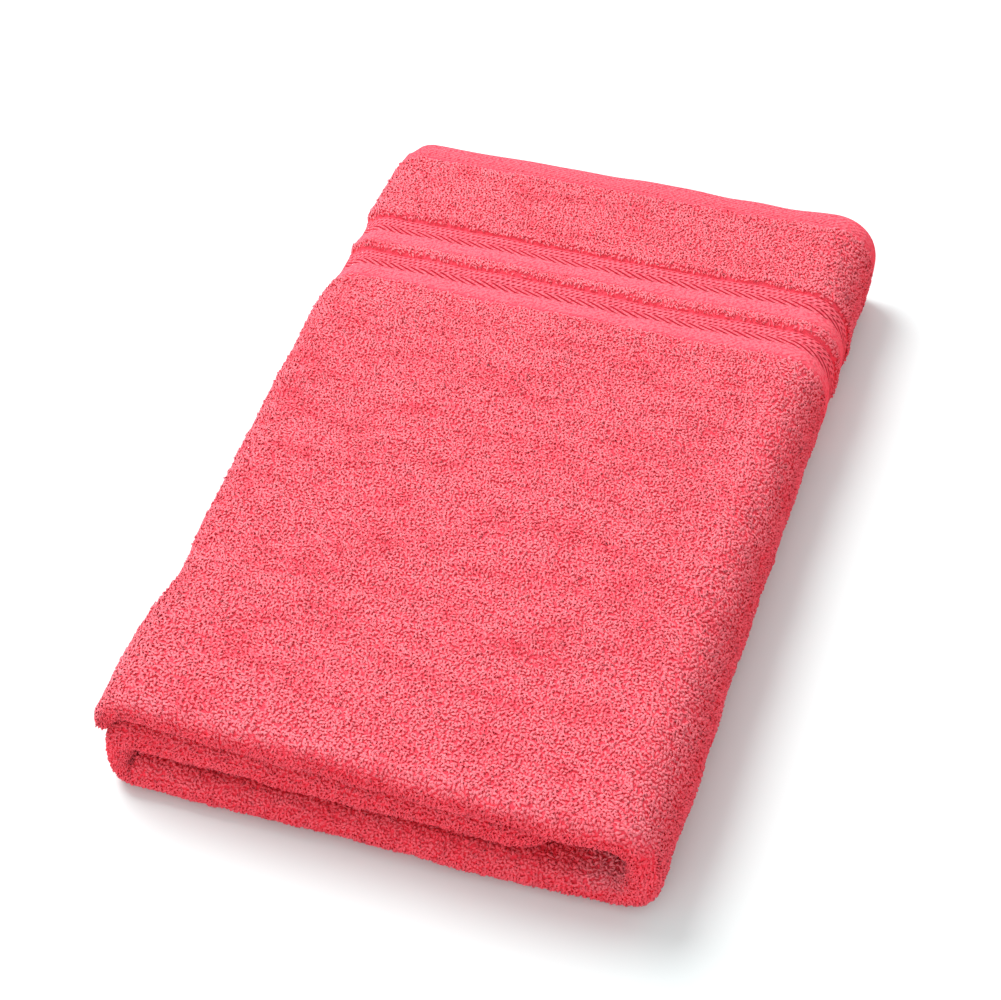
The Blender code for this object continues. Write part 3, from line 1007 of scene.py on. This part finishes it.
# Painted shade in the grooves beside the border's floats.
groove_shade = calc(tree, "MULTIPLY", grooves, GROOVE_SHADE_STRENGTH, clamp=True)
shade = blend_colours(tree, groove_shade, shade, CORAL_GROOVE_SHADE)
plug(tree, shader.inputs["Base Color"], shaded(tree, shade))
weave_relief = calc(tree, "MULTIPLY_ADD", hem_zone, HEM_EXTRA_RELIEF, WEAVE_RELIEF)
height = calc(tree, "MULTIPLY_ADD", grooves, -1.0, 1.0)
height = calc(tree, "MULTIPLY_ADD", weave, weave_relief, height)
height = calc(tree, "MULTIPLY_ADD", grain, GRAIN_RELIEF, height)
height = calc(tree, "MULTIPLY_ADD", stitch, STITCH_RELIEF, height)
add_bump(tree, shader, height, strength=1.0, depth=0.0006)

cloth.data.materials.append(woven)
for piece in pile:
    piece.data.materials.append(pile_cotton)
print("woven material has", len(tree.nodes), "nodes")

# %% [markdown]
# ## Tying the pieces to the towel's body
#
# All of them ride the towel's one body. The cloth stands in place of the CAD solid, which is
# hidden. The pile goes with it.

# %% Tying the pieces to the frame
for piece in [cloth, *pile]:
    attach(piece, "root")
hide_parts("towel")
print(1 + len(pile), "pieces tied to the towel's body")

# %% [markdown]
# ## Floor, light and camera
#
# The towel lies on a plain white surface that has no edge or horizon to be seen. The floor's colour
# carries painted light: it is very slightly cool round the towel, to balance the pink light that
# the coral throws on it, and it is painted brighter far away, where the lamps light it less, so
# that it runs into the white surroundings at a low view.

# %% The floor
FLOOR_REACH, FLOOR_DROP, FLOOR_ROUGHNESS = 20, 0.0002, 0.6
FLOOR_NEAR, FLOOR_WHITE = (0.745, 0.83, 0.83, 1.0), (0.83, 0.83, 0.83, 1.0)
FLOOR_FAR = (0.99, 0.99, 0.99, 1.0)
HALF_WIDTH, HALF_LENGTH = 0.12, 0.18
NEAR_REACH, FAR_START, FAR_REACH = 0.075, 0.5, 1.5

corners = [(-1, -1), (1, -1), (1, 1), (-1, 1)]
floor_mesh = bpy.data.meshes.new("floor")
floor_points = [(x * FLOOR_REACH, y * FLOOR_REACH, 0) for x, y in corners]
floor_mesh.from_pydata(floor_points, [], [(0, 1, 2, 3)])
floor = bpy.data.objects.new("floor", floor_mesh)
bpy.context.scene.collection.objects.link(floor)
floor.location.z = -FLOOR_DROP
white = bpy.data.materials.new("white surface")
white.use_nodes = True
tree = white.node_tree
where = tree.nodes.new("ShaderNodeNewGeometry")
split = tree.nodes.new("ShaderNodeSeparateXYZ")
tree.links.new(where.outputs["Position"], split.inputs["Vector"])
gap_x = calc(tree, "SUBTRACT", calc(tree, "ABSOLUTE", split.outputs["X"]), HALF_WIDTH)
gap_y = calc(tree, "SUBTRACT", calc(tree, "ABSOLUTE", split.outputs["Y"]), HALF_LENGTH)
gap = calc(tree, "MAXIMUM", gap_x, gap_y)
near = calc(tree, "DIVIDE", gap, NEAR_REACH, clamp=True)
far = calc(tree, "DIVIDE", calc(tree, "SUBTRACT", gap, FAR_START), FAR_REACH, clamp=True)
# Painted light on the floor: a cool tint that cancels the towel's pink bounce near it, and a
# brighter white far away.
painted_floor = blend_colours(tree, near, FLOOR_NEAR, FLOOR_WHITE)
painted_floor = blend_colours(tree, far, painted_floor, FLOOR_FAR)
shader = tree.nodes["Principled BSDF"]
shader.inputs["Roughness"].default_value = FLOOR_ROUGHNESS
plug(tree, shader.inputs["Base Color"], painted_floor)
floor_mesh.materials.append(white)
print("floor material has", len(tree.nodes), "nodes")

# %% [markdown]
# The light is soft and comes from the back left, with bright surroundings, so the towel casts only
# a short soft shadow to the front and the right. A weak second lamp from the front lifts the folded
# edges, which would be too dark without it.

# %% The light
WORLD_STRENGTH = 0.84
world = bpy.data.worlds.new("white room")
bpy.context.scene.world = world
world.use_nodes = True
world.node_tree.nodes["Background"].inputs["Color"].default_value = PURE_WHITE
world.node_tree.nodes["Background"].inputs["Strength"].default_value = WORLD_STRENGTH
bpy.context.scene.view_settings.view_transform = "Standard"


def soft_light(name, at, size, watts):
    """A round lamp that points at the middle of the towel."""
    data = bpy.data.lights.new(name, "AREA")
    data.shape = "DISK"
    data.size = size
    data.energy = watts
    lamp = bpy.data.objects.new(name, data)
    lamp.location = at
    lamp.rotation_euler = (-Vector(at)).to_track_quat("-Z", "Y").to_euler()
    bpy.context.scene.collection.objects.link(lamp)
    print(name, "light of", watts, "W")


soft_light("key", at=(-0.95, 0.65, 1.5), size=1.2, watts=33.5)
soft_light("fill", at=(-0.25, -1.5, 0.55), size=1.0, watts=4.0)

# %% [markdown]
# The camera looks down from the front right, a little rolled, through a fairly long lens. We set
# its matrix from the directions ahead, right and above, since angles about three axes are hard to
# read back.

# %% The camera
CAMERA_AZIMUTH, CAMERA_HEIGHT_ANGLE, CAMERA_ROLL = 24.74, 50.63, -6.50
CAMERA_DISTANCE, CAMERA_LENS = 0.8473, 70.80
CAMERA_TARGET = Vector((0.0053, -0.0271, 0.045))
az, el, roll = np.radians([CAMERA_AZIMUTH, CAMERA_HEIGHT_ANGLE, CAMERA_ROLL])
ahead = Vector((-np.sin(az) * np.cos(el), np.cos(az) * np.cos(el), -np.sin(el)))
level = Vector((np.cos(az), np.sin(az), 0.0))
rolled_right = level * np.cos(roll) + level.cross(ahead) * np.sin(roll)
rolled_above = rolled_right.cross(ahead)
lens = bpy.data.cameras.new("camera")
lens.lens = CAMERA_LENS
lens.sensor_width = 36.0
lens.clip_start = 0.01
camera = bpy.data.objects.new("camera", lens)
bpy.context.scene.collection.objects.link(camera)
turned = Matrix((rolled_right, rolled_above, -ahead)).transposed()
spot = CAMERA_TARGET - CAMERA_DISTANCE * ahead
camera.matrix_world = Matrix.Translation(spot) @ turned.to_4x4()
bpy.context.scene.camera = camera
print("camera at", [round(value, 3) for value in spot])
